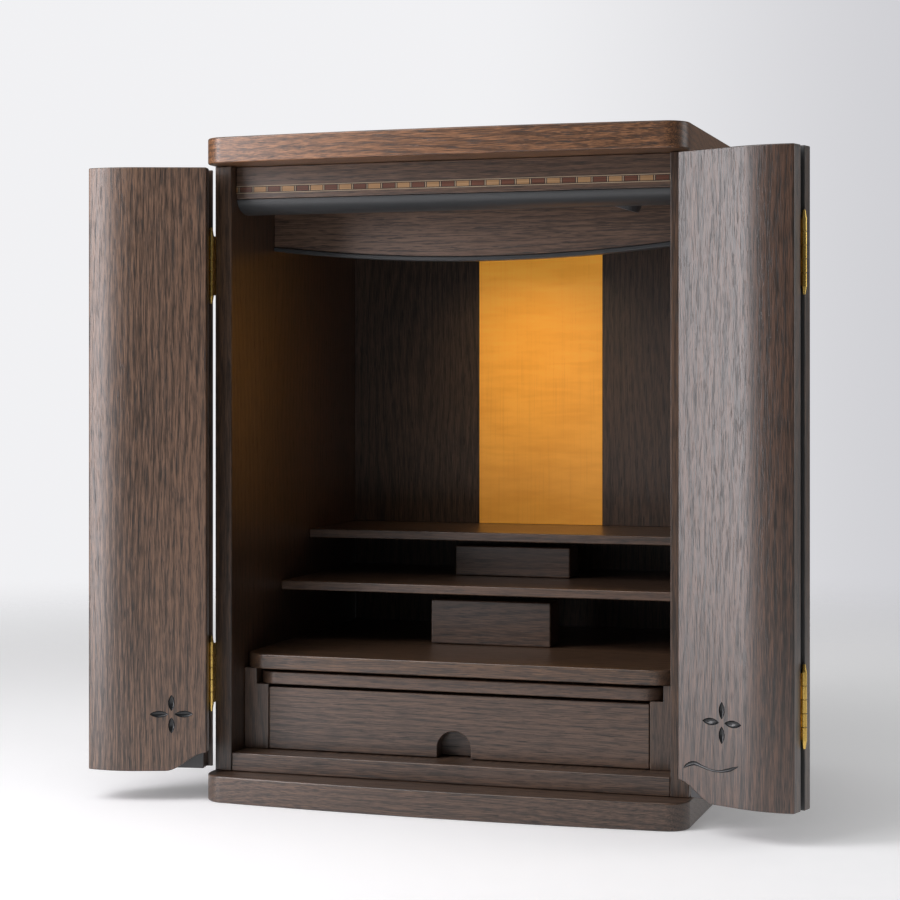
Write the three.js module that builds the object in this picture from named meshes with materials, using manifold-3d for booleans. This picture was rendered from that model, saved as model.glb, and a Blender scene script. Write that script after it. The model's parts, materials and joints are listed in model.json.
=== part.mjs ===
// Household altar cabinet: a dark oak case with two pairs of folding door
// leaves, shelves, a drawer and a pull-out board.
// Millimetres, +Z up, front towards -Y. The origin is on the floor, under the
// middle of the base board.
import * as THREE from 'three';
import { mergeVertices } from 'three/addons/utils/BufferGeometryUtils.js';
import Module from 'manifold-3d';

const wasm = await Module();
wasm.setup();

// ---------------------------------------------------------------- dimensions
const GAP = 0.3;                    // clearance between neighbouring pieces

const HEIGHT = 600;                 // floor to the top board's upper face
const BOARD_W = 444;                // width of base and top board
const DEPTH = 370;                  // front of the bow to the back
const BOW = 10;                     // how far the front edges bow forwards
const CORNER_R = 21;                // front corners of base and top board
const BASE_T = 24;
const TOP_T = 23.4;

const FACE_Y = -150;                // front edges of the side panels
const BACK_Y = DEPTH / 2;           // rear faces of the boards
const PANEL_OUT = 219.5;            // outer face of a side panel, from the middle
const PANEL_IN = 203.3;             // inner face of a side panel

const Z_LOW = BASE_T + GAP;         // inside, on the base board
const Z_HIGH = HEIGHT - TOP_T - GAP;

const KICK_TOP = 41;                // top of the kick board and drawer floor
const STILE_Y = FACE_Y + 29.4;      // front of the stiles and of the drawer
const STILE_T = 18;
const DRAWER_HALF = 179.2;          // half the drawer opening
const SLOT_HALF = 191;              // half the opening of the pull-out board
const SLOT_LOW = 100.8;             // lower edge of that opening

const DECK_T = 13.5;
const DECK_TOP = 129;
const DECK_Y = FACE_Y + 21.5;
const DECK_R = 24;

const MID_TOP = 187.7;              // middle shelf
const MID_Y = FACE_Y + 117.8;
const UP_TOP = 232.8;               // upper shelf
const UP_Y = FACE_Y + 192;
const SHELF_T = 8.5;

const LINING_Y = FACE_Y + 325.9;    // front of the lining at the back
const LINING_T = 2.7;
const GOLD_HALF = 65.4;             // half the amber panel

const LINTEL_Y = FACE_Y + 10.2;
const LINTEL_T = 18;
const LINTEL_LOW = 546.9;
const CEILING_LOW = 558;
const CEILING_T = 8;
const VALANCE_Y = FACE_Y + 102;
const VALANCE_T = 12;
const VALANCE_END = 509;            // lower edge of the valance at the walls
const VALANCE_MID = 496.5;          // and in the middle
const LIP_T = 4.2;                  // charcoal strip under the valance

// door leaves
const PIN_X = 220;                  // case hinge pins, from the middle
const PIN_Y = FACE_Y - 8;
const FOLD_X = 110;                 // pins between the leaves, doors closed
const FOLD_Y = FACE_Y + 0.4;
const INNER_Y = FACE_Y - 2.5;       // inner faces of the closed leaves
const LEAF_LOW = 27.9;
const LEAF_HIGH = 573.2;
const OPEN_LEFT = 170.5;            // degrees from closed to open
const OPEN_RIGHT = 164.5;
const FOLD = 182.7;                 // degrees from flat to folded

const HINGE_Z = [113.9, 485.3];     // middles of the lower and upper hinges
const BARREL = 56.5;                // five knuckles together
const KNUCKLE_R = 2.5;
const PIN_R = 1.0;
const TIP = 6.3;

// ------------------------------------------------------------------ materials
const oak = (c) => new THREE.MeshStandardMaterial({ color: c, roughness: 0.5, metalness: 0 });
const OAK = 0x4f4038;
const OAK_WARM = 0x5a4636;
const CHARCOAL = new THREE.MeshStandardMaterial({ color: 0x45474a, roughness: 0.45, metalness: 0 });
const BRASS = new THREE.MeshStandardMaterial({ color: 0xc79a3c, roughness: 0.28, metalness: 1 });
const AMBER = new THREE.MeshStandardMaterial({ color: 0xcf8d33, roughness: 0.12, metalness: 0 });
const PALE = new THREE.MeshStandardMaterial({ color: 0xb58a58, roughness: 0.4, metalness: 0 });
const LAMP = new THREE.MeshStandardMaterial({ color: 0x46484b, roughness: 0.4, metalness: 0.2 });

// -------------------------------------------------------------------- helpers
function toManifold(g) {
  const c = g.clone();
  c.deleteAttribute('normal');
  if (c.getAttribute('uv')) c.deleteAttribute('uv');
  const m = mergeVertices(c, 1e-5);
  return new wasm.Manifold(new wasm.Mesh({
    numProp: 3,
    vertProperties: Float32Array.from(m.getAttribute('position').array),
    triVerts: Uint32Array.from(m.index.array),
  }));
}

function toGeometry(man) {
  const m = man.getMesh();
  const g = new THREE.BufferGeometry();
  g.setAttribute('position', new THREE.BufferAttribute(Float32Array.from(m.vertProperties), 3));
  g.setIndex(new THREE.BufferAttribute(Uint32Array.from(m.triVerts), 1));
  const flat = g.toNonIndexed();
  flat.computeVertexNormals();
  return flat;
}

const join = (...gs) => toGeometry(gs.map(toManifold).reduce((a, b) => a.add(b)));
const cut = (g, ...tools) => toGeometry(tools.map(toManifold).reduce((a, b) => a.subtract(b), toManifold(g)));

// a prism over a polygon: axis 'z' takes (x, y), 'y' takes (x, z), 'x' takes (y, z)
function prism(poly, low, high, axis = 'z') {
  let p = poly.map(([u, v]) => new THREE.Vector2(u, v));
  if (THREE.ShapeUtils.area(p) < 0) p = p.reverse();
  const tris = THREE.ShapeUtils.triangulateShape(p, []);
  const at = {
    z: (q, a) => [q.x, q.y, a],
    y: (q, a) => [q.x, a, q.y],
    x: (q, a) => [a, q.x, q.y],
  }[axis];
  const flip = axis === 'y';
  const out = [];
  const push = (a, b, c) => { const t = flip ? [a, c, b] : [a, b, c]; for (const q of t) out.push(...q); };
  for (const [a, b, c] of tris) {
    push(at(p[a], high), at(p[b], high), at(p[c], high));
    push(at(p[a], low), at(p[c], low), at(p[b], low));
  }
  for (let i = 0; i < p.length; i++) {
    const q = p[i], r = p[(i + 1) % p.length];
    push(at(q, low), at(r, low), at(r, high));
    push(at(q, low), at(r, high), at(q, high));
  }
  const g = new THREE.BufferGeometry();
  g.setAttribute('position', new THREE.Float32BufferAttribute(out, 3));
  g.computeVertexNormals();
  return g;
}

// a block between two corners
function block(x0, x1, y0, y1, z0, z1) {
  const g = new THREE.BoxGeometry(Math.abs(x1 - x0), Math.abs(y1 - y0), Math.abs(z1 - z0));
  g.translate((x0 + x1) / 2, (y0 + y1) / 2, (z0 + z1) / 2);
  return g;
}

function arc(cx, cy, r, a0, a1, n) {
  const out = [];
  for (let i = 0; i <= n; i++) {
    const a = THREE.MathUtils.degToRad(a0 + ((a1 - a0) * i) / n);
    out.push([cx + r * Math.cos(a), cy + r * Math.sin(a)]);
  }
  return out;
}

const altar = new THREE.Group();
altar.name = 'household_altar_cabinet';

function add(name, geometry, material, parent = altar) {
  const mesh = new THREE.Mesh(geometry, material);
  mesh.name = name;
  parent.add(mesh);
  return mesh;
}

// ------------------------------------------------- base board and top board
// plan of both boards: bowed front, rounded front corners, square at the back
function boardPlan() {
  const h = BOARD_W / 2;
  const y0 = FACE_Y - 25;
  const front = [];
  const n = 14;
  for (let i = 1; i < n; i++) {
    const x = -h + CORNER_R + ((2 * h - 2 * CORNER_R) * i) / n;
    front.push([x, y0 - BOW * (1 - (x / h) ** 2)]);
  }
  const ys = y0 - BOW * (1 - ((h - CORNER_R) / h) ** 2);
  return [
    ...arc(-h + CORNER_R, ys + CORNER_R, CORNER_R, 180, 270, 7),
    ...front,
    ...arc(h - CORNER_R, ys + CORNER_R, CORNER_R, 270, 360, 7),
    [h, BACK_Y],
    [-h, BACK_Y],
  ];
}
add('base_board', prism(boardPlan(), 0, BASE_T), oak(OAK));
add('top_board', prism(boardPlan(), HEIGHT - TOP_T, HEIGHT), oak(OAK_WARM));

// --------------------------------------------------------------- side panels
// a shallow pocket on the outside takes each hinge plate
const PLATE_T = 0.9;
const PLATE_L = 54;
const PLATE_W = 11;
for (const [side, s] of [['left', -1], ['right', 1]]) {
  const panel = block(s * PANEL_IN, s * PANEL_OUT, FACE_Y, BACK_Y - 0.5, Z_LOW, Z_HIGH);
  const pockets = HINGE_Z.map((z) => block(
    s * (PANEL_OUT - PLATE_T - GAP), s * (PANEL_OUT + 5),
    FACE_Y - 5, FACE_Y + PLATE_W + GAP, z - PLATE_L / 2 - GAP, z + PLATE_L / 2 + GAP));
  add(`side_panel_${side}`, cut(panel, ...pockets), oak(OAK));
}

// ---------------------------------------------------------------------- back
const inner = PANEL_IN - GAP;
add('back_board', block(-inner, inner, LINING_Y + LINING_T + GAP, BACK_Y - 1, Z_LOW, Z_HIGH), oak(OAK));
for (const [side, s] of [['left', -1], ['right', 1]]) {
  add(`back_lining_${side}`, block(s * (GOLD_HALF + GAP), s * inner, LINING_Y, LINING_Y + LINING_T,
    UP_TOP + GAP, CEILING_LOW - GAP), oak(OAK));
}
add('amber_panel', block(-GOLD_HALF, GOLD_HALF, LINING_Y, LINING_Y + LINING_T, UP_TOP + GAP, CEILING_LOW - GAP), AMBER);

// ------------------------------------------------------------ top of the case
add('ceiling_board', block(-inner, inner, LINTEL_Y + LINTEL_T + GAP, LINING_Y + LINING_T, CEILING_LOW, CEILING_LOW + CEILING_T), oak(OAK));

const BAND_LOW = 551.9;
const BAND_HIGH = 558.8;
const BAND_T = 1.2;
{
  const body = block(-inner, inner, LINTEL_Y, LINTEL_Y + LINTEL_T, LINTEL_LOW, Z_HIGH);
  const groove = block(-inner - 1, inner + 1, LINTEL_Y - 1, LINTEL_Y + BAND_T + 0.1, BAND_LOW - 0.1, BAND_HIGH + 0.1);
  add('lintel', cut(body, groove), oak(OAK));
  add('inlay_band', block(-inner, inner, LINTEL_Y - 0.1, LINTEL_Y + BAND_T - 0.1, BAND_LOW, BAND_HIGH), PALE);
}
{
  // quarter-round moulding that runs back under the lintel
  const top = LINTEL_LOW - GAP;
  const y0 = LINTEL_Y + 1.5, y1 = LINTEL_Y + 26, low = 533.6;
  const curve = [];
  for (let i = 0; i <= 8; i++) {
    const a = (Math.PI / 2) * (i / 8);
    curve.push([y1 - (y1 - y0) * Math.cos(a), top - (top - low) * Math.sin(a)]);
  }
  add('cove_moulding', prism([...curve, [y1, top]], -inner, inner, 'x'), CHARCOAL);
}
{
  // valance with a shallow hanging arch, and the strip along its edge
  const low = (x) => VALANCE_MID + (VALANCE_END - VALANCE_MID) * (x / inner) ** 2;
  const edge = [], strip = [];
  const n = 16;
  for (let i = 0; i <= n; i++) {
    const x = -inner + (2 * inner * i) / n;
    edge.push([x, low(x)]);
    strip.push([x, low(x) - GAP]);
  }
  add('valance_board', prism([...edge, [inner, CEILING_LOW - GAP], [-inner, CEILING_LOW - GAP]],
    VALANCE_Y, VALANCE_Y + VALANCE_T, 'y'), oak(OAK));
  add('valance_strip', prism([...strip.map(([x, z]) => [x, z - LIP_T]), ...strip.slice().reverse()],
    VALANCE_Y - 1.5, VALANCE_Y + VALANCE_T, 'y'), CHARCOAL);
}

// ------------------------------------------------------ shelves, deck, blocks
// a board with rounded front corners
function shelfPlan(half, y0, y1, r) {
  return [
    ...arc(-half + r, y0 + r, r, 180, 270, 5),
    ...arc(half - r, y0 + r, r, 270, 360, 5),
    [half, y1],
    [-half, y1],
  ];
}
const SHELF_BACK = LINING_Y + LINING_T;
add('deck_board', prism(shelfPlan(inner, DECK_Y, SHELF_BACK, DECK_R), DECK_TOP - DECK_T, DECK_TOP), oak(OAK_WARM));
add('middle_shelf', prism(shelfPlan(inner, MID_Y, SHELF_BACK, 2), MID_TOP - SHELF_T, MID_TOP), oak(OAK_WARM));
add('upper_shelf', prism(shelfPlan(inner, UP_Y, SHELF_BACK, 2), UP_TOP - SHELF_T, UP_TOP), oak(OAK_WARM));
const BLOCK_D = 33;
add('stand_lower', block(-59.1, 59.1, FACE_Y + 144.8, FACE_Y + 144.8 + BLOCK_D, DECK_TOP + GAP, 171.4), oak(OAK));
add('stand_upper', block(-58.5, 58.5, FACE_Y + 220.2, FACE_Y + 220.2 + BLOCK_D, MID_TOP + GAP, 217.6), oak(OAK));

// ------------------------------------------------------ below the deck
add('kick_board', block(-inner, inner, FACE_Y + 0.2, FACE_Y + 18, Z_LOW, KICK_TOP), oak(OAK));
add('drawer_floor', block(-inner, inner, FACE_Y + 18 + GAP, LINING_Y + LINING_T, KICK_TOP - 9, KICK_TOP - 0.2), oak(OAK));
const FLOOR_TOP = KICK_TOP - 0.2;
for (const [side, s] of [['left', -1], ['right', 1]]) {
  const x0 = s * DRAWER_HALF, xs = s * SLOT_HALF, x1 = s * inner;
  add(`stile_${side}`, prism([
    [x0, FLOOR_TOP + GAP], [x1, FLOOR_TOP + GAP], [x1, DECK_TOP - DECK_T - GAP],
    [xs, DECK_TOP - DECK_T - GAP], [xs, SLOT_LOW], [x0, SLOT_LOW],
  ], STILE_Y, STILE_Y + STILE_T, 'y'), oak(OAK));
  // runner behind the stile: it guides the drawer and carries the pull-out board
  add(`runner_${side}`, block(s * (DRAWER_HALF + 0.4), s * inner, STILE_Y + STILE_T + GAP, LINING_Y - 20,
    FLOOR_TOP + GAP, SLOT_LOW - 0.1), oak(OAK));
}

// pull-out board
const SLIDE_T = 11.4;
const SLIDE_LOW = SLOT_LOW + 0.5;
add('pullout_board', prism(shelfPlan(SLOT_HALF - 0.7, STILE_Y - 3, STILE_Y + 215, 20), SLIDE_LOW, SLIDE_LOW + SLIDE_T), oak(OAK));

// drawer
const DR_HALF = DRAWER_HALF - 0.6;
const DR_LOW = FLOOR_TOP + 0.7;
const DR_HIGH = 98.4;
const CUT_R = 15.7;
const CUT_TOP = 65.4;
const DR_T = 15;
{
  const arch = [
    [CUT_R, DR_LOW - 2], [CUT_R, CUT_TOP - CUT_R],
    ...arc(0, CUT_TOP - CUT_R, CUT_R, 0, 180, 14).slice(1, -1),
    [-CUT_R, CUT_TOP - CUT_R], [-CUT_R, DR_LOW - 2],
  ];
  const front = block(-DR_HALF, DR_HALF, STILE_Y + 0.2, STILE_Y + 0.2 + DR_T, DR_LOW, DR_HIGH);
  add('drawer_front', cut(front, prism(arch, STILE_Y - 5, STILE_Y + DR_T + 5, 'y')), oak(OAK));
  const y0 = STILE_Y + 0.2 + DR_T + GAP, y1 = y0 + 215;
  const hw = DR_HALF - 1.2;
  const w = 9;
  const shell = block(-hw, hw, y0, y1, DR_LOW + 0.3, 92);
  const hollow = block(-hw + w, hw - w, y0 + w, y1 - w, DR_LOW + 5.3, 110);
  add('drawer_box', cut(shell, hollow), oak(0x8a7358));
}

// ---------------------------------------------------------------- spotlight
const SPOT = { x: 152, y: FACE_Y + 60, pivot: 546 };
{
  const rose = new THREE.CylinderGeometry(12, 12, 3, 20);
  rose.rotateX(Math.PI / 2);
  rose.translate(SPOT.x, SPOT.y, CEILING_LOW - GAP - 1.5);
  const yoke = block(SPOT.x - 3, SPOT.x + 3, SPOT.y - 10.5, SPOT.y - 8, SPOT.pivot - 4, CEILING_LOW - GAP - 1);
  const yoke2 = block(SPOT.x - 3, SPOT.x + 3, SPOT.y + 8, SPOT.y + 10.5, SPOT.pivot - 4, CEILING_LOW - GAP - 1);
  const pin = new THREE.CylinderGeometry(1.1, 1.1, 20, 12);
  pin.translate(SPOT.x, SPOT.y, SPOT.pivot);
  add('spot_bracket', join(rose, yoke, yoke2, pin), LAMP);
  const head = new THREE.Group();
  head.name = 'spot_head_group';
  head.position.set(SPOT.x, SPOT.y, SPOT.pivot);
  head.rotation.y = THREE.MathUtils.degToRad(17);
  altar.add(head);
  const disc = new THREE.CylinderGeometry(15.5, 14.3, 7, 28);
  disc.rotateX(Math.PI / 2);
  disc.translate(0, 0, -9.6);
  const lug = block(-3.5, 3.5, -7.6, 7.6, -7.5, 3.5);
  const eye = new THREE.CylinderGeometry(1.4, 1.4, 30, 12);
  add('spot_head', cut(join(disc, lug), eye), LAMP, head);
}

// -------------------------------------------------------------- door leaves
// thickness of leaf B over the distance from its meeting edge
function leafB(t) {
  const flat = 12 + 0.125 * t;
  if (t <= 62) return flat;
  const k = (t - 62) / 46;
  return flat - 13 * k * k;
}
// thickness of leaf A over the distance from its case edge
function leafA(t) {
  const k = t / FOLD_X;
  return 18 - 7.2 * k * k;
}

const Z_SPAN = [LEAF_LOW, LEAF_HIGH];

function hingeSet(prefix, pinParent, otherParent, plateA, plateB) {
  // pinParent's half carries knuckles 1, 3, 5 and the pin with its tips;
  // otherParent's half carries knuckles 2 and 4, bored for the pin
  HINGE_Z.forEach((zc, i) => {
    const tag = i === 0 ? 'lower' : 'upper';
    const step = BARREL / 5;
    const ring = (k, r0) => {
      const z0 = zc - BARREL / 2 + k * step + (k ? 0.35 : 0), z1 = zc - BARREL / 2 + (k + 1) * step - (k < 4 ? 0.35 : 0);
      const outer = new THREE.CylinderGeometry(KNUCKLE_R, KNUCKLE_R, z1 - z0, 16);
      outer.rotateX(Math.PI / 2);
      outer.translate(0, 0, (z0 + z1) / 2);
      if (!r0) return outer;
      const bore = new THREE.CylinderGeometry(r0, r0, z1 - z0 + 2, 12);
      bore.rotateX(Math.PI / 2);
      bore.translate(0, 0, (z0 + z1) / 2);
      return cut(outer, bore);
    };
    const half = BARREL / 2 + TIP;
    const rod = new THREE.LatheGeometry([
      [0, -half], [1.35, -half], [2.35, -BARREL / 2 + 0.1], [PIN_R, -BARREL / 2 + 0.1],
      [PIN_R, BARREL / 2 - 0.1], [2.35, BARREL / 2 - 0.1], [1.35, half], [0, half],
    ].map(([r, z]) => new THREE.Vector2(r, z)), 12);
    rod.rotateX(Math.PI / 2);
    rod.translate(0, 0, zc);
    const bands = (ks, plate) => {
      // the plate is cut back wherever the other half's knuckles turn
      const slots = ks.map((k) => {
        const z0 = zc - BARREL / 2 + k * step - 0.15, z1 = zc - BARREL / 2 + (k + 1) * step + 0.15;
        const c = new THREE.CylinderGeometry(KNUCKLE_R + 0.4, KNUCKLE_R + 0.4, z1 - z0, 16);
        c.rotateX(Math.PI / 2);
        c.translate(0, 0, (z0 + z1) / 2);
        return c;
      });
      return cut(plate, ...slots);
    };
    const pa = bands([1, 3], plateA(zc)), pb = bands([0, 2, 4], plateB(zc));
    add(`${prefix}_${tag}_pin`, join(pa, ring(0), ring(2), ring(4), rod), BRASS, pinParent);
    const bored = join(pb, ring(1, PIN_R + 0.25), ring(3, PIN_R + 0.25));
    const clear = new THREE.CylinderGeometry(PIN_R + 0.25, PIN_R + 0.25, BARREL + 20, 12);
    clear.rotateX(Math.PI / 2);
    clear.translate(0, 0, zc);
    add(`${prefix}_${tag}_leaf`, cut(bored, clear), BRASS, otherParent);
  });
}

for (const [side, s, open] of [['left', -1, -OPEN_LEFT], ['right', 1, OPEN_RIGHT]]) {
  // the leaves are drawn closed, measured from their pins
  const gA = new THREE.Group();
  gA.name = `door_${side}_a_group`;
  gA.position.set(s * PIN_X, PIN_Y, 0);
  gA.rotation.z = THREE.MathUtils.degToRad(open);
  altar.add(gA);
  const gB = new THREE.Group();
  gB.name = `door_${side}_b_group`;
  gB.position.set(s * (FOLD_X - PIN_X), FOLD_Y - PIN_Y, 0);
  gB.rotation.z = THREE.MathUtils.degToRad(-s * FOLD);
  gA.add(gB);

  // leaf A
  const A = (x, y) => [s * (x - PIN_X), y - PIN_Y];
  const edgeA = PIN_X - 5.5;
  const outerA = [];
  const nA = 8;
  const a1 = FOLD_X + 0.5;
  for (let i = 0; i <= nA; i++) {
    const x = PIN_X - 2.5 - ((PIN_X - 2.5 - a1) * i) / nA;
    outerA.push(A(x, INNER_Y - leafA(PIN_X - x)));
  }
  const planA = [
    A(a1, INNER_Y), A(edgeA, INNER_Y), A(edgeA, INNER_Y - 13.5),
    A(PIN_X - 0.8, INNER_Y - 13.5), A(PIN_X - 0.8, INNER_Y - 16),
    ...outerA,
  ];
  const foldPocket = (z, base, sx) => {
    // pocket in an inner face beside the fold, for a hinge plate
    const x0 = base(FOLD_X)[0], x1 = base(FOLD_X + sx * 13.4)[0];
    const y = base(FOLD_X)[1];
    return block(x0, x1, y - PLATE_T - GAP, y + 5, z - PLATE_L / 2 - GAP, z + PLATE_L / 2 + GAP);
  };
  const baseA = (x) => A(x, INNER_Y);
  const casePockets = HINGE_Z.map((z) => block(A(edgeA - PLATE_T - GAP, 0)[0], A(edgeA + 10, 0)[0],
    A(0, INNER_Y + 3)[1], A(0, INNER_Y - 13.1)[1], z - PLATE_L / 2 - GAP, z + PLATE_L / 2 + GAP));
  let solidA = prism(planA, ...Z_SPAN);
  solidA = cut(solidA, ...casePockets, ...HINGE_Z.map((z) => foldPocket(z, baseA, 1)));
  add(`door_${side}_leaf_a`, solidA, oak(OAK), gA);

  // leaf B, measured from the fold pin
  const B = (x, y) => [s * (x - FOLD_X), y - FOLD_Y];
  const free = 0.4;
  const b1 = FOLD_X - 1.2;
  const outerB = [];
  const nB = 18;
  for (let i = 0; i <= nB; i++) {
    const x = free + ((b1 - free) * i) / nB;
    outerB.push(B(x, INNER_Y - leafB(x - free)));
  }
  const planB = [B(b1, INNER_Y), B(free, INNER_Y), ...outerB];
  // hand-hold cut out of the lower meeting corner
  const NOTCH_W = 37, NOTCH_H = 16.5;
  const notch = [[B(free - 5, 0)[0], LEAF_LOW - 5], [B(free - 5, 0)[0], LEAF_LOW + NOTCH_H]];
  for (let i = 0; i <= 10; i++) {
    const k = i / 10;
    notch.push([B(free + NOTCH_W * k, 0)[0], LEAF_LOW + NOTCH_H * (0.5 + 0.5 * Math.cos(Math.PI * k)) ]);
  }
  notch.push([B(free + NOTCH_W, 0)[0], LEAF_LOW - 5]);
  const baseB = (x) => B(x, INNER_Y);
  let solidB = prism(planB, ...Z_SPAN);
  solidB = cut(solidB, prism(notch, -60, 20, 'y'), ...HINGE_Z.map((z) => foldPocket(z, baseB, -1)));
  add(`door_${side}_leaf_b`, solidB, oak(OAK), gB);

  // hinges between case and leaf A: one plate on the side panel, one on the leaf's edge
  const pinGroup = new THREE.Group();
  pinGroup.name = `case_hinges_${side}_group`;
  pinGroup.position.set(s * PIN_X, PIN_Y, 0);
  altar.add(pinGroup);
  const casePlate = (z) => {
    const xo = s * (PANEL_OUT - PIN_X), xi = s * (PANEL_OUT - PLATE_T - PIN_X);
    return block(xi, xo, 0.5, FACE_Y + PLATE_W - PIN_Y, z - PLATE_L / 2, z + PLATE_L / 2);
  };
  const leafPlate = (z) => {
    const x0 = s * (edgeA - PIN_X), x1 = s * (edgeA - PLATE_T - PIN_X);
    const plate = block(x0, x1, INNER_Y - PIN_Y, INNER_Y - 13 - PIN_Y, z - PLATE_L / 2, z + PLATE_L / 2);
    const web = block(s * (edgeA - PIN_X - 0.6), s * (-1.7), -0.6, 0.6, z - PLATE_L / 2, z + PLATE_L / 2);
    return join(plate, web);
  };
  hingeSet(`case_hinge_${side}`, pinGroup, gA, casePlate, leafPlate);

  // hinges between leaf A and leaf B: a plate on each inner face
  const foldPin = new THREE.Group();
  foldPin.name = `fold_hinges_${side}_group`;
  foldPin.position.copy(gB.position);
  gA.add(foldPin);
  const yIn = INNER_Y - FOLD_Y;
  const plateOnA = (z) => join(
    block(s * 0.9, s * 12.6, yIn - PLATE_T, yIn, z - PLATE_L / 2, z + PLATE_L / 2),
    block(s * 0.9, s * 2.0, yIn - PLATE_T, -0.2, z - PLATE_L / 2, z + PLATE_L / 2));
  const plateOnB = (z) => join(
    block(-s * 1.5, -s * 12.6, yIn - PLATE_T, yIn, z - PLATE_L / 2, z + PLATE_L / 2),
    block(-s * 1.5, -s * 2.1, yIn - PLATE_T, -0.2, z - PLATE_L / 2, z + PLATE_L / 2));
  hingeSet(`fold_hinge_${side}`, foldPin, gB, plateOnA, plateOnB);
}

export default altar;
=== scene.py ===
import bpy, bmesh, json, math
from mathutils import Vector, Matrix


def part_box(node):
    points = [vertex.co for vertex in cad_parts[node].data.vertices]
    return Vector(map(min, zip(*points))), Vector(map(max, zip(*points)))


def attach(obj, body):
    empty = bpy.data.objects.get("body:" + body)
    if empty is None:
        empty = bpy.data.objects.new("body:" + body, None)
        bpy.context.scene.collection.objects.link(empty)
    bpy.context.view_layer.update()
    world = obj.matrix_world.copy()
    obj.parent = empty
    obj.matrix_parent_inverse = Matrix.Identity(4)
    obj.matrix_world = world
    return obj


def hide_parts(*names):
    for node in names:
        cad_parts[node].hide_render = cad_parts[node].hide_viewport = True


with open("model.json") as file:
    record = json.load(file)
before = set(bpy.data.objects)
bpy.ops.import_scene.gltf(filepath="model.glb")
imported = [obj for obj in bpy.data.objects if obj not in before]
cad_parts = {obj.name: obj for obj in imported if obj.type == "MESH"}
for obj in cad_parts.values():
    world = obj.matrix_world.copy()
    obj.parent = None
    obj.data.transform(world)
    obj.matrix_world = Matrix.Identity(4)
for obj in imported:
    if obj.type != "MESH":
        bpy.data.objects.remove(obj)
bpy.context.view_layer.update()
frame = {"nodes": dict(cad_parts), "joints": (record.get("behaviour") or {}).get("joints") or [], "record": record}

scene = bpy.context.scene
NODES = frame["nodes"]
MM = 0.001

# ------------------------------------------------------------------ node helper
class Tree:
    """Short-hand for building a material's nodes."""
    def __init__(self, name):
        self.m = bpy.data.materials.new(name)
        self.m.use_nodes = True
        self.nt = self.m.node_tree
        self.nt.nodes.clear()
        self.out = self.nt.nodes.new("ShaderNodeOutputMaterial")
        self.bs = self.nt.nodes.new("ShaderNodeBsdfPrincipled")
        self.link(self.bs.outputs[0], self.out.inputs[0])
        self.tc = self.nt.nodes.new("ShaderNodeTexCoord")

    def link(self, a, b):
        self.nt.links.new(a, b)

    def mapped(self, scale, loc=(0, 0, 0), rot=(0, 0, 0), src=None):
        n = self.nt.nodes.new("ShaderNodeMapping")
        self.link(src or self.tc.outputs["Object"], n.inputs[0])
        n.inputs["Location"].default_value = loc
        n.inputs["Rotation"].default_value = rot
        n.inputs["Scale"].default_value = scale
        return n.outputs[0]

    def noise(self, vec, scale=1.0, detail=2.0, rough=0.5, dist=0.0):
        n = self.nt.nodes.new("ShaderNodeTexNoise")
        self.link(vec, n.inputs["Vector"])
        n.inputs["Scale"].default_value = scale
        n.inputs["Detail"].default_value = detail
        n.inputs["Roughness"].default_value = rough
        n.inputs["Distortion"].default_value = dist
        return n.outputs["Fac"]

    def math(self, op, a, b=0.0, c=0.0, clamp=False):
        n = self.nt.nodes.new("ShaderNodeMath")
        n.operation = op
        n.use_clamp = clamp
        for i, v in enumerate((a, b, c)):
            if hasattr(v, "links") or hasattr(v, "is_linked"):
                self.link(v, n.inputs[i])
            elif i < len(n.inputs):
                n.inputs[i].default_value = v
        return n.outputs[0]

    def smooth(self, v, lo, hi, a=0.0, b=1.0):
        n = self.nt.nodes.new("ShaderNodeMapRange")
        n.interpolation_type = "SMOOTHSTEP"
        self.link(v, n.inputs[0])
        for i, x in zip((1, 2, 3, 4), (lo, hi, a, b)):
            n.inputs[i].default_value = x
        return n.outputs[0]

    def linear(self, v, lo, hi, a=0.0, b=1.0):
        n = self.nt.nodes.new("ShaderNodeMapRange")
        self.link(v, n.inputs[0])
        for i, x in zip((1, 2, 3, 4), (lo, hi, a, b)):
            n.inputs[i].default_value = x
        return n.outputs[0]

    def mix(self, fac, a, b, mode="MIX"):
        n = self.nt.nodes.new("ShaderNodeMix")
        n.data_type = "RGBA"
        n.blend_type = mode
        if hasattr(fac, "is_linked"):
            self.link(fac, n.inputs[0])
        else:
            n.inputs[0].default_value = fac
        for sock, v in ((n.inputs[6], a), (n.inputs[7], b)):
            if hasattr(v, "is_linked"):
                self.link(v, sock)
            else:
                sock.default_value = (*v, 1.0) if len(v) == 3 else v
        return n.outputs[2]

    def bump(self, height, strength, distance, after=None):
        n = self.nt.nodes.new("ShaderNodeBump")
        n.inputs["Strength"].default_value = strength
        n.inputs["Distance"].default_value = distance
        self.link(height, n.inputs["Height"])
        if after is not None:
            self.link(after, n.inputs["Normal"])
        return n.outputs[0]


def along(axis, across, length):
    """Mapping scale for a pattern stretched along the grain's axis."""
    s = [across, across, across]
    s["xyz".index(axis)] = length
    return s


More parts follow.
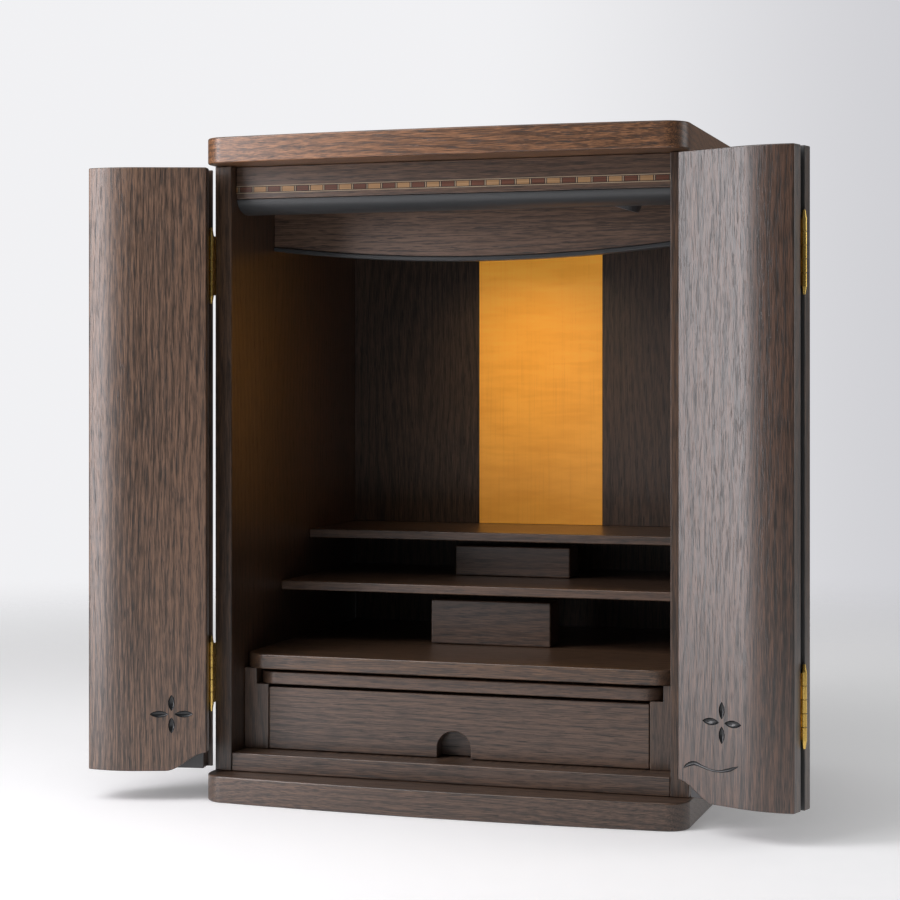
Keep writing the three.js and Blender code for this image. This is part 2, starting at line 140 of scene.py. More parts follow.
# ------------------------------------------------------------------- materials
def oak(name, axis="z", seed=0.0, light=(0.122, 0.070, 0.045), dark=(0.030, 0.018, 0.012), pore=(0.008, 0.005, 0.004),
        rough=0.38, pore_w=1.0, spread=1.0, coat=0.55):
    """Dark stained open-pore oak with its grain along one axis."""
    t = Tree(name)
    off = (seed * 1.37 + 0.11, seed * 0.73 + 0.29, seed * 2.11 + 0.53)
    i = "xyz".index(axis)
    # slow waver of the grain
    wob = t.noise(t.mapped(along(axis, 7, 1.6), off), 1.0, 2, 0.5)
    wob2 = t.noise(t.mapped(along(axis, 26, 5.0), off), 1.0, 2, 0.5)
    # yearly rings: distance from a far pith line, bent by the waver
    sep = t.nt.nodes.new("ShaderNodeSeparateXYZ")
    t.link(t.mapped((1, 1, 1), (off[0] * 0.05, off[1] * 0.05, off[2] * 0.05)), sep.inputs[0])
    others = [sep.outputs[k] for k in range(3) if k != i]
    u = t.math("ADD", others[0], 0.31)
    v = t.math("ADD", others[1], 0.24)
    r = t.math("SQRT", t.math("ADD", t.math("MULTIPLY", u, u), t.math("MULTIPLY", v, v)))
    r = t.math("ADD", r, t.math("MULTIPLY", wob, 0.060 * spread))
    r = t.math("ADD", r, t.math("MULTIPLY", wob2, 0.010 * spread))
    rings = t.math("FRACT", t.math("MULTIPLY", r, 165.0))
    early = t.smooth(rings, 0.0, 0.42, 1.0, 0.0)
    late = t.smooth(rings, 0.72, 1.0, 0.0, 1.0)
    ring = t.math("MAXIMUM", early, late)
    # fibres
    fib = t.noise(t.mapped(along(axis, 1500, 52), off), 1.0, 2.5, 0.6)
    fib2 = t.noise(t.mapped(along(axis, 820, 16), off), 1.0, 2, 0.5)
    # open pores: long dark dashes, gathered in the early wood
    po = t.noise(t.mapped(along(axis, 1250, 52), off), 1.0, 2.0, 0.5)
    pm = t.smooth(t.math("ADD", po, t.math("MULTIPLY", ring, 0.045)), 0.655 - 0.035 * pore_w, 0.705 - 0.025 * pore_w)
    po2 = t.noise(t.mapped(along(axis, 2300, 130), off), 1.0, 1.5, 0.5)
    pm2 = t.smooth(t.math("ADD", po2, t.math("MULTIPLY", ring, 0.06)), 0.64, 0.72)
    cloud = t.noise(t.mapped(along(axis, 9, 2.2), off), 1.0, 3, 0.55)
    tone = t.math("ADD", t.math("MULTIPLY", fib, 1.00), t.math("MULTIPLY", fib2, 0.20))
    tone = t.math("ADD", tone, t.math("MULTIPLY", ring, -0.10))
    tone = t.math("ADD", tone, t.math("MULTIPLY", cloud, 0.35))
    tone = t.smooth(tone, 0.56, 0.94)
    col = t.mix(tone, dark, light)
    col = t.mix(t.math("MULTIPLY", pm2, 0.62), col, pore)
    col = t.mix(t.math("MULTIPLY", pm, 0.80), col, pore)
    t.link(col, t.bs.inputs["Base Color"])
    ro = t.math("ADD", t.linear(fib, 0.2, 0.8, rough - 0.04, rough + 0.06), t.math("MULTIPLY", pm, 0.22))
    t.link(ro, t.bs.inputs["Roughness"])
    h = t.math("SUBTRACT", t.math("MULTIPLY", fib, 0.16), t.math("ADD", pm, t.math("MULTIPLY", pm2, 0.4)))
    relief = t.bump(h, 0.26, 0.00020)
    t.link(relief, t.bs.inputs["Normal"])
    if coat:
        t.link(relief, t.bs.inputs["Coat Normal"])
        t.bs.inputs["Coat Weight"].default_value = coat
        t.bs.inputs["Coat Roughness"].default_value = 0.32
    return t.m


def lacquer(name, a, b, rough=0.36, axis="z"):
    """Thin coloured lacquer over wood: the grain telegraphs through."""
    t = Tree(name)
    fib = t.noise(t.mapped(along(axis, 900, 12), (0.3, 0.1, 0.7)), 1.0, 3, 0.6)
    cl = t.noise(t.mapped((14, 14, 14)), 1.0, 2, 0.5)
    t.link(t.mix(t.math("ADD", t.math("MULTIPLY", fib, 0.7), t.math("MULTIPLY", cl, 0.3), clamp=True), a, b), t.bs.inputs["Base Color"])
    t.link(t.linear(fib, 0.2, 0.8, rough - 0.04, rough + 0.05), t.bs.inputs["Roughness"])
    t.link(t.bump(fib, 0.14, 0.00012), t.bs.inputs["Normal"])
    return t.m


def brass():
    t = Tree("polished_brass")
    n = t.noise(t.mapped((500, 500, 60)), 1.0, 3, 0.6)
    c = t.noise(t.mapped((60, 60, 25)), 1.0, 2, 0.5)
    t.link(t.mix(t.smooth(c, 0.35, 0.7), (0.80, 0.55, 0.16), (0.62, 0.40, 0.10)), t.bs.inputs["Base Color"])
    t.bs.inputs["Metallic"].default_value = 1.0
    t.link(t.linear(n, 0.2, 0.8, 0.20, 0.34), t.bs.inputs["Roughness"])
    t.link(t.bump(n, 0.06, 0.0001), t.bs.inputs["Normal"])
    return t.m


def amber():
    """Figured veneer in amber under a glossy coat: ripples across, fine lines up; the lamp's light on it is painted in
    as a glow that fades towards the bottom.
    """
    t = Tree("amber_veneer")
    fine = t.noise(t.mapped((620, 620, 9), (0.2, 0, 0.1)), 1.0, 3, 0.6)
    lines = t.noise(t.mapped((210, 210, 2.2), (0.7, 0, 0.4)), 1.0, 2, 0.5)
    waver = t.noise(t.mapped((11, 11, 14)), 1.0, 2, 0.5)
    # the figure: short bright ripples lying across the grain
    rip = t.noise(t.mapped((17, 17, 105), (0.1, 0, 0.9), (0, math.radians(4), 0)), 1.0, 2.5, 0.55, 0.35)
    rip2 = t.noise(t.mapped((42, 42, 190), (0.5, 0, 0.2)), 1.0, 2, 0.5, 0.2)
    fig = t.math("ADD", t.math("MULTIPLY", rip, 0.55), t.math("MULTIPLY", rip2, 0.25))
    fig = t.math("ADD", fig, t.math("MULTIPLY", waver, 0.2))
    c = t.mix(t.smooth(fig, 0.34, 0.66), (0.66, 0.275, 0.030), (0.74, 0.330, 0.042))
    c = t.mix(t.math("MULTIPLY", t.smooth(fine, 0.50, 0.70), 0.20), c, (0.48, 0.17, 0.015))
    c = t.mix(t.math("MULTIPLY", t.smooth(lines, 0.52, 0.72), 0.16), c, (0.52, 0.20, 0.018))
    t.link(c, t.bs.inputs["Base Color"])
    t.link(t.linear(fine, 0.2, 0.8, 0.30, 0.40), t.bs.inputs["Roughness"])
    t.bs.inputs["Coat Weight"].default_value = 1.0
    t.bs.inputs["Coat Roughness"].default_value = 0.09
    t.link(t.bump(fig, 0.10, 0.0004), t.bs.inputs["Normal"])
    # painted light: the panel glows, fainter towards the bottom, standing in for the lamp behind the valance lighting
    # it
    up = t.nt.nodes.new("ShaderNodeSeparateXYZ")
    t.link(t.tc.outputs["Object"], up.inputs[0])
    t.link(t.mix(t.linear(up.outputs[2], 0.24, 0.44, 0.48, 0.0), c, (0.02, 0.008, 0.001)), t.bs.inputs["Emission Color"])
    t.bs.inputs["Emission Strength"].default_value = AMBER_PAINTED_LIGHT
    return t.m


def plainwood(name, a, b, axis, rough=0.5):
    t = Tree(name)
    fib = t.noise(t.mapped(along(axis, 600, 9), (0.4, 0.2, 0.6)), 1.0, 3, 0.6)
    cl = t.noise(t.mapped(along(axis, 40, 3), (0.1, 0.6, 0.2)), 1.0, 2, 0.5)
    f = t.math("ADD", t.math("MULTIPLY", fib, 0.6), t.math("MULTIPLY", cl, 0.4))
    t.link(t.mix(t.smooth(f, 0.35, 0.68), a, b), t.bs.inputs["Base Color"])
    t.link(t.linear(fib, 0.2, 0.8, rough - 0.05, rough + 0.08), t.bs.inputs["Roughness"])
    t.link(t.bump(fib, 0.15, 0.00015), t.bs.inputs["Normal"])
    return t.m


def enamel(name, col, rough=0.38, metal=0.0):
    t = Tree(name)
    n = t.noise(t.mapped((900, 900, 900)), 1.0, 3, 0.6)
    c = t.noise(t.mapped((70, 70, 70)), 1.0, 2, 0.5)
    t.link(t.mix(c, tuple(x * 0.86 for x in col), tuple(min(1, x * 1.12) for x in col)), t.bs.inputs["Base Color"])
    t.link(t.linear(n, 0.2, 0.8, rough - 0.05, rough + 0.05), t.bs.inputs["Roughness"])
    t.bs.inputs["Metallic"].default_value = metal
    t.link(t.bump(n, 0.05, 0.0001), t.bs.inputs["Normal"])
    return t.m


# strength of the lamp light painted into the amber panel as a glow
AMBER_PAINTED_LIGHT = 0.52
WARM_L, WARM_D = (0.330, 0.150, 0.066), (0.072, 0.033, 0.016)
M_TOP = oak("oak_top", "x", 1.0, WARM_L, WARM_D, spread=1.3)
M_BASE = oak("oak_base", "x", 2.0)
M_SIDE = oak("oak_side", "z", 3.0, (0.105, 0.058, 0.034), (0.022, 0.012, 0.007), coat=0.35)
M_BACK = oak("oak_back", "z", 4.0, rough=0.5)
M_LINING = oak("oak_lining", "z", 5.0, (0.090, 0.055, 0.038), (0.020, 0.013, 0.009), spread=1.5, coat=0.25)
M_LINTEL = oak("oak_lintel", "x", 6.0, (0.145, 0.085, 0.056), (0.040, 0.025, 0.017))
M_VALANCE = oak("oak_valance", "x", 7.0, (0.185, 0.110, 0.074), (0.055, 0.034, 0.024))
M_DECK = oak("oak_deck", "x", 8.0, (0.150, 0.080, 0.044), (0.044, 0.025, 0.015), rough=0.34)
M_SHELF = oak("oak_shelf", "x", 9.0, (0.125, 0.069, 0.042), (0.036, 0.021, 0.014), rough=0.32)
M_STAND = oak("oak_stand", "x", 10.0)
M_DRAWER = oak("oak_drawer", "x", 11.0)
M_KICK = oak("oak_kick", "x", 12.0)
M_STILE = oak("oak_stile", "z", 13.0)
M_SLIDE = oak("oak_slide", "x", 14.0, (0.125, 0.069, 0.042), (0.036, 0.021, 0.014))
M_RUN = oak("oak_runner", "y", 15.0)
# painted light and shade: leaves B are one oak, left_b painted lighter for the light on the left door, right_b painted
# darker for the shade on the right door's curve
M_DOOR = {
    "left_a": oak("oak_door_left_a", "z", 16.0),
    "left_b": oak("oak_door_left_b", "z", 17.0, (0.178, 0.102, 0.064), (0.026, 0.016, 0.011)),
    "right_a": oak("oak_door_right_a", "z", 18.0),
    "right_b": oak("oak_door_right_b", "z", 19.0, (0.118, 0.060, 0.037), (0.013, 0.008, 0.005), coat=0.90, pore_w=1.9),
}
M_CHAR = lacquer("charcoal_lacquer", (0.036, 0.038, 0.040), (0.060, 0.063, 0.066), 0.38, "x")
M_CHAR_V = lacquer("charcoal_lacquer_doors", (0.058, 0.059, 0.060), (0.088, 0.089, 0.091), 0.42, "z")
M_CARVE = lacquer("charcoal_carving", (0.011, 0.012, 0.013), (0.026, 0.028, 0.030), 0.24, "x")
M_AMBER = amber()
M_BRASS = brass()
M_MAPLE = plainwood("inlay_maple", (0.31, 0.175, 0.080), (0.47, 0.29, 0.145), "x", 0.35)
M_MAHOG = plainwood("inlay_mahogany", (0.085, 0.034, 0.022), (0.185, 0.075, 0.046), "x", 0.35)
M_PALE = plainwood("inlay_pale_line", (0.36, 0.27, 0.18), (0.52, 0.42, 0.30), "x", 0.35)
M_BLACK = plainwood("inlay_black_line", (0.012, 0.010, 0.009), (0.026, 0.021, 0.018), "x", 0.35)
M_BOX = plainwood("drawer_side_wood", (0.20, 0.13, 0.075), (0.36, 0.25, 0.15), "y")
M_LAMP = enamel("lamp_enamel", (0.060, 0.062, 0.066))
M_LAMP_DARK = enamel("lamp_dark", (0.03, 0.03, 0.032))
M_SCREW = enamel("screw_brass", (0.60, 0.40, 0.12), 0.3, 1.0)


# --------------------------------------------------------------- mesh helpers
def new_object(name, bm, mats):
    me = bpy.data.meshes.new(name)
    bm.to_mesh(me)
    bm.free()
    for m in mats:
        me.materials.append(m)
    ob = bpy.data.objects.new(name, me)
    scene.collection.objects.link(ob)
    return ob


def baked(ob):
    """Applies the object's modifiers."""
    bpy.context.view_layer.update()
    dg = bpy.context.evaluated_depsgraph_get()
    me = bpy.data.meshes.new_from_object(ob.evaluated_get(dg), preserve_all_data_layers=True, depsgraph=dg)
    old = ob.data
    ob.modifiers.clear()
    ob.data = me
    bpy.data.meshes.remove(old)
    return ob


def bevel(ob, width, segs=3, angle=28):
    m = ob.modifiers.new("edge", "BEVEL")
    m.width = width * MM
    m.segments = segs
    m.limit_method = "ANGLE"
    m.angle_limit = math.radians(angle)
    m.use_clamp_overlap = True
    m.miter_outer = "MITER_ARC"
    return baked(ob)


def carve(ob, *cutters, mode="DIFFERENCE"):
    for c in cutters:
        m = ob.modifiers.new("cut", "BOOLEAN")
        m.operation = mode
        m.object = c
        m.solver = "EXACT"
        m.material_mode = "TRANSFER"
        baked(ob)
        bpy.data.objects.remove(c)
    return ob


def shade(ob, angle=38):
    me = ob.data
    for p in me.polygons:
        p.use_smooth = True
    me.set_sharp_from_angle(angle=math.radians(angle))
    m = ob.modifiers.new("normals", "WEIGHTED_NORMAL")
    m.keep_sharp = True
    m.weight = 70
    return baked(ob)


def prism(name, poly, low, high, axis="z", mats=(), to=None, scale=MM):
    """A solid over a polygon. axis z takes (x, y), y takes (x, z), x takes (y, z); to moves each finished point."""
    area = sum(poly[i][0] * poly[(i + 1) % len(poly)][1] - poly[(i + 1) % len(poly)][0] * poly[i][1] for i in range(len(poly)))
    if area < 0:
        poly = poly[::-1]
    place = {"z": lambda q, a: (q[0], q[1], a), "y": lambda q, a: (q[0], a, q[1]), "x": lambda q, a: (a, q[0], q[1])}[axis]
    bm = bmesh.new()
    lo = [bm.verts.new(Vector(place(q, low)) * scale) for q in poly]
    hi = [bm.verts.new(Vector(place(q, high)) * scale) for q in poly]
    bm.faces.new(hi)
    bm.faces.new(lo[::-1])
    for i in range(len(poly)):
        j = (i + 1) % len(poly)
        bm.faces.new((lo[i], lo[j], hi[j], hi[i]))
    if to is not None:
        for v in bm.verts:
            v.co = to(v.co)
    bmesh.ops.recalc_face_normals(bm, faces=bm.faces)
    return new_object(name, bm, mats)


def block(name, x0, x1, y0, y1, z0, z1, mats=(), to=None):
    x0, x1 = sorted((x0, x1))
    y0, y1 = sorted((y0, y1))
    return prism(name, [(x0, y0), (x1, y0), (x1, y1), (x0, y1)], z0, z1, "z", mats, to)


def arc(cx, cy, r, a0, a1, n):
    return [(cx + r * math.cos(math.radians(a0 + (a1 - a0) * i / n)), cy + r * math.sin(math.radians(a0 + (a1 - a0) * i / n))) for i in range(n + 1)]


def put(ob, body, slot, *nodes):
    if nodes:
        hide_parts(*nodes)
    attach(ob, body)
    return ob


def size(node):
    lo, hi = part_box(node)
    return [v / MM for v in (lo.x, hi.x, lo.y, hi.y, lo.z, hi.z)]


# ------------------------------------------------------- base and top board
def board_plan(node):
    x0, x1, y0, y1, _, _ = size(node)
    h, r, bow = x1, 21.0, 10.0
    ymid = y0 + bow          # where the bow would end at the full half width
    pts = []
    n = 48
    front = []
    for i in range(1, n):
        x = -h + r + (2 * h - 2 * r) * i / n
        front.append((x, ymid - bow * (1 - (x / h) ** 2)))
    ys = ymid - bow * (1 - ((h - r) / h) ** 2)
    pts += arc(-h + r, ys + r, r, 180, 270, 18)
    pts += front
    pts += arc(h - r, ys + r, r, 270, 360, 18)
    pts += [(h, y1), (-h, y1)]
    return pts


for node, mat, slot, w in (("base_board", M_BASE, "oak", 1.6), ("top_board", M_TOP, "oak_warm", 1.6)):
    z0, z1 = size(node)[4:]
    ob = prism(node + "_piece", board_plan(node), z0, z1, "z", [mat])
    put(shade(bevel(ob, w, 4)), "case", slot, node)

# --------------------------------------------------------------- side panels
HINGE_Z = [(size("case_hinge_left_lower_pin")[4] + size("case_hinge_left_lower_pin")[5]) / 2,
           (size("case_hinge_left_upper_pin")[4] + size("case_hinge_left_upper_pin")[5]) / 2]
PLATE_L, PLATE_T, PLATE_W, GAP = 54.0, 0.9, 11.0, 0.3
for side, s in (("left", -1), ("right", 1)):
    x0, x1, y0, y1, z0, z1 = size(f"side_panel_{side}")
    xo = x1 if s > 0 else x0
    ob = bevel(block(f"side_panel_{side}_piece", x0, x1, y0, y1, z0, z1, [M_SIDE]), 0.9, 3)
    pockets = [block("pocket", xo - s * (PLATE_T + 0.1), xo + s * 5, y0 - 5, y0 + PLATE_W + 0.15, z - PLATE_L / 2 - 0.15, z + PLATE_L / 2 + 0.15, [M_SIDE]) for z in HINGE_Z]
    put(shade(carve(ob, *pockets)), "case", "oak", f"side_panel_{side}")

# ----------------------------------------------------- plain bevelled boards
def board(node, mat, slot, body="case", w=0.7, segs=3):
    ob = block(node + "_piece", *size(node), [mat])
    return put(shade(bevel(ob, w, segs)), body, slot, node)


board("back_board", M_BACK, "oak", w=0.5)
board("back_lining_left", M_LINING, "oak", w=0.25, segs=2)
board("back_lining_right", M_LINING, "oak", w=0.25, segs=2)
board("amber_panel", M_AMBER, "amber", w=0.25, segs=2)
board("ceiling_board", M_BACK, "oak", w=0.5)
board("stand_lower", M_STAND, "oak", w=1.6, segs=4)
board("stand_upper", M_STAND, "oak", w=1.6, segs=4)
board("kick_board", M_KICK, "oak", w=1.1, segs=4)
board("drawer_floor", M_RUN, "oak", w=0.4, segs=2)
board("runner_left", M_RUN, "oak", w=0.4, segs=2)
board("runner_right", M_RUN, "oak", w=0.4, segs=2)


# -------------------------------------------------------- shelves and slide
def shelf(node, mat, slot, r, w, body="case"):
    x0, x1, y0, y1, z0, z1 = size(node)
    plan = arc(x0 + r, y0 + r, r, 180, 270, 12) + arc(x1 - r, y0 + r, r, 270, 360, 12) + [(x1, y1), (x0, y1)]
    ob = prism(node + "_piece", plan, z0, z1, "z", [mat])
    return put(shade(bevel(ob, w, 4)), body, slot, node)


shelf("deck_board", M_DECK, "oak_warm", 24, 1.5)
shelf("middle_shelf", M_SHELF, "oak_warm", 2, 1.1)
shelf("upper_shelf", M_SHELF, "oak_warm", 2, 1.1)
shelf("pullout_board", M_SLIDE, "oak", 20, 1.2, "pullout")

# ------------------------------------------------------------- lintel, inlay
x0, x1, y0, y1, z0, z1 = size("lintel")
BAND = size("inlay_band")
ob = bevel(block("lintel_piece", x0, x1, y0, y1, z0, z1, [M_LINTEL]), 0.8, 3)
groove = block("groove", x0 - 1, x1 + 1, y0 - 3, BAND[3] + 0.05, BAND[4] - 0.05, BAND[5] + 0.05, [M_BLACK])
put(shade(carve(ob, groove)), "case", "oak", "lintel")


def inlay():
    """Pale lines above and below a row of maple and mahogany tiles between dark and pale slips."""
    bm = bmesh.new()
    bx0, bx1, by0, by1, bz0, bz1 = BAND
    face = y0 - 0.02

    def tile(xa, xb, za, zb, mat, proud=0.0):
        c = 0.08
        fy = face - proud
        ring = [(xa, za), (xb, za), (xb, zb), (xa, zb)]
        inn = [(xa + c, za + c), (xb - c, za + c), (xb - c, zb - c), (xa + c, zb - c)]
        vb = [bm.verts.new((x * MM, by1 * MM, z * MM)) for x, z in ring]
        vf = [bm.verts.new((x * MM, (fy + 0.06) * MM, z * MM)) for x, z in ring]
        vi = [bm.verts.new((x * MM, fy * MM, z * MM)) for x, z in inn]
        faces = [bm.faces.new(vi), bm.faces.new(vb[::-1])]
        for i in range(4):
            j = (i + 1) % 4
            faces.append(bm.faces.new((vf[i], vf[j], vi[j], vi[i])))
            faces.append(bm.faces.new((vb[i], vb[j], vf[j], vf[i])))
        for f in faces:
            f.material_index = mat

    line, dark = 0.62, 0.55
    tile(bx0, bx1, bz1 - line, bz1, 2)
    tile(bx0, bx1, bz0, bz0 + line, 2)
    tile(bx0, bx1, bz1 - line - dark, bz1 - line - 0.02, 3)
    tile(bx0, bx1, bz0 + line + 0.02, bz0 + line + dark, 3)
    za, zb = bz0 + line + dark + 0.02, bz1 - line - dark - 0.02
    slips = [(0.75, 3), (0.85, 2), (0.75, 3)]
    block_w = (27.7 - 2 * sum(w for w, _ in slips)) / 2
    x = INLAY_START
    k = 0
    while x < bx1:
        for w, m in [(block_w, 0 if k % 2 == 0 else 1)] + slips:
            xa, xb = max(x, bx0), min(x + w, bx1)
            if xb - xa > 0.3:
                tile(xa + 0.01, xb - 0.01, za, zb, m)
            x += w
        k += 1
    bmesh.ops.recalc_face_normals(bm, faces=bm.faces)
    return new_object("inlay_band_piece", bm, [M_MAPLE, M_MAHOG, M_PALE, M_BLACK])


INLAY_START = -213.0
ob = inlay()
put(ob, "case", "inlay", "inlay_band")

# quarter-round moulding under the lintel
x0, x1, cy0, cy1, cz0, cz1 = size("cove_moulding")
curve = [(cy1 - (cy1 - cy0) * math.cos(math.pi / 2 * i / 28), cz1 - (cz1 - cz0) * math.sin(math.pi / 2 * i / 28)) for i in range(29)]
put(shade(bevel(prism("cove_moulding_piece", curve + [(cy1, cz1)], x0, x1, "x", [M_CHAR]), 0.4, 2, 50)), "case", "charcoal", "cove_moulding")

# valance with its hanging arch, and the strip along the edge
VX0, VX1, VY0, VY1, VZ0, VZ1 = size("valance_board")
SX0, SX1, SY0, SY1, SZ0, SZ1 = size("valance_strip")
MID, END = VZ0, SZ1 + 0.3
low = lambda x: MID + (END - MID) * (x / VX1) ** 2
N = 64
edge = [(VX0 + (VX1 - VX0) * i / N, low(VX0 + (VX1 - VX0) * i / N)) for i in range(N + 1)]
put(shade(bevel(prism("valance_board_piece", edge + [(VX1, VZ1), (VX0, VZ1)], VY0, VY1, "y", [M_VALANCE]), 0.5, 2)), "case", "oak", "valance_board")
strip = [(x, z - 0.3) for x, z in edge]
LIP = (MID - 0.3) - SZ0
put(shade(bevel(prism("valance_strip_piece", [(x, z - LIP) for x, z in strip] + strip[::-1], SY0, SY1, "y", [M_CHAR]), 1.1, 4)), "case", "charcoal", "valance_strip")

# ------------------------------------------------------------ below the deck
for side, s in (("left", -1), ("right", 1)):
    sx0, sx1, sy0, sy1, sz0, sz1 = size(f"stile_{side}")
    inner, outer = (sx1, sx0) if s < 0 else (sx0, sx1)
    slot_x = s * 191.0
    poly = [(inner, sz0), (outer, sz0), (outer, sz1), (slot_x, sz1), (slot_x, 100.8), (inner, 100.8)]
    put(shade(bevel(prism(f"stile_{side}_piece", poly, sy0, sy1, "y", [M_STILE]), 0.6, 3)), "case", "oak", f"stile_{side}")

# drawer front with its arched finger cut
dx0, dx1, dy0, dy1, dz0, dz1 = size("drawer_front")
R, TOP = 15.7, 65.4
poly = [(dx0, dz0), (-R, dz0), (-R, TOP - R)] + arc(0, TOP - R, R, 180, 0, 36)[1:-1] + [(R, TOP - R), (R, dz0), (dx1, dz0), (dx1, dz1), (dx0, dz1)]
put(shade(bevel(prism("drawer_front_piece", poly, dy0, dy1, "y", [M_DRAWER]), 1.0, 4)), "drawer", "oak", "drawer_front")

bx0, bx1, by0, by1, bz0, bz1 = size("drawer_box")
ob = bevel(block("drawer_box_piece", bx0, bx1, by0, by1, bz0, bz1, [M_BOX, M_STAND]), 0.5, 2)
ob = carve(ob, block("hollow", bx0 + 9, bx1 - 9, by0 + 9, by1 - 9, bz0 + 5, bz1 + 20, [M_BOX]))
# the face behind the finger cut gets the dark oak in place of the pale box wood
for p in ob.data.polygons:
    if p.center.y < (by0 + 0.6) * MM and p.normal.y < -0.5:
        p.material_index = 1
put(shade(ob), "drawer", "plain_wood", "drawer_box")


# ------------------------------------------------------------------ the doors
JOINTS = {j["name"]: j for j in frame["joints"]}
RATIO = {c["joint"]: c["ratio"] for c in frame["record"]["behaviour"]["couplings"]}
PIN_X, FOLD_X, INNER_Y = 220.0, 110.0, -152.5
PIN_Y, FOLD_Y = -158.0, -149.6


def leaf_frames(side, s):
    """Functions taking points of the closed leaves A and B, in mm, to their stored open places, in metres."""
    j = JOINTS[f"door_{side}_open"]
    opened = -j["range_deg"][0]
    fold = opened * abs(RATIO[f"door_{side}_fold"])
    pin = Vector((s * PIN_X, PIN_Y, 0))
    RA = Matrix.Rotation(math.radians(s * opened), 4, "Z")
    MA = Matrix.Translation(pin) @ RA
    hinge = Vector((s * (FOLD_X - PIN_X), FOLD_Y - PIN_Y, 0))
    MB = MA @ Matrix.Translation(hinge) @ Matrix.Rotation(math.radians(-s * fold), 4, "Z")

    def toA(co):
        return MA @ Vector((s * (co.x - PIN_X * MM) * 1000, co.y * 1000 - PIN_Y, co.z * 1000)) * MM

    def toB(co):
        return MB @ Vector((s * (co.x - FOLD_X * MM) * 1000, co.y * 1000 - FOLD_Y, co.z * 1000)) * MM
    return toA, toB


def leaf_b(t):
    flat = 12 + 0.125 * t
    if t <= 62:
        return flat
    k = (t - 62) / 46
    return flat - 13 * k * k


def leaf_a(t):
    k = t / FOLD_X
    return 18 - 7.2 * k * k


FREE = 0.4
NOTCH_W, NOTCH_H = 37.0, 16.5


def groove_cutter(name, line, widths, depth, lift, to):
    """A scooped groove along a line of (t, z) points on leaf B's outer face: U-shaped, its width changing along it."""
    bm = bmesh.new()
    rings = []
    m = 10
    pts = [Vector((p[0], p[1])) for p in line]
    for i, p in enumerate(pts):
        d = (pts[min(i + 1, len(pts) - 1)] - pts[max(i - 1, 0)]).normalized()
        nrm = Vector((-d.y, d.x))
        w = max(widths[i] / 2, 0.05)
        dep = depth * min(1.0, 0.25 + 0.75 * (widths[i] / max(widths)))
        ring = []
        for k in range(m + 1):
            a = math.pi * k / m
            off, dn = w * math.cos(a), dep * math.sin(a)
            q = p + nrm * off
            ring.append((q.x, q.y, dn))
        ring.append((p.x - nrm.x * w, p.y - nrm.y * w, -lift))
        ring.append((p.x + nrm.x * w, p.y + nrm.y * w, -lift))
        rings.append([bm.verts.new(to(*r)) for r in ring])
    for a, b in zip(rings, rings[1:]):
        n = len(a)
        for k in range(n):
            bm.faces.new((a[k], a[(k + 1) % n], b[(k + 1) % n], b[k]))
    bm.faces.new(rings[0][::-1])
    bm.faces.new(rings[-1])
    bmesh.ops.recalc_face_normals(bm, faces=bm.faces)
    ob = new_object(name, bm, [M_CARVE])
    for p in ob.data.polygons:
        p.use_smooth = True
    return ob


def petal(a, b, width, n=22):
    """Line and widths of an almond-shaped scoop from a to b."""
    line, widths = [], []
    for i in range(n + 1):
        s = i / n
        line.append((a[0] + (b[0] - a[0]) * s, a[1] + (b[1] - a[1]) * s))
        u = 2 * s - 1
        widths.append(width * max(0.0, 1 - abs(u) ** 2.0) ** 0.85 + 0.10)
    return line, widths


FLOWER = {"left": (31.1, 79.4), "right": (44.8, 97.0)}
SPRIG = [((6.0, 55.0), 0.4), ((8.5, 57.2), 1.9), ((12.25, 59.2), 2.7), ((16.3, 60.3), 2.8), ((19.2, 60.1), 2.6), ((22.0, 59.4), 2.1),
         ((25.2, 58.6), 1.7), ((28.5, 57.8), 1.5), ((32.0, 57.0), 1.4), ((35.7, 56.5), 1.4), ((39.0, 56.4), 1.3), ((42.1, 56.6), 1.4),
         ((45.0, 57.0), 1.6), ((47.7, 57.7), 1.9), ((51.0, 58.6), 2.2), ((54.0, 59.7), 2.1), ((57.0, 60.9), 1.6), ((59.5, 62.0), 1.0), ((61.3, 62.8), 0.3)]

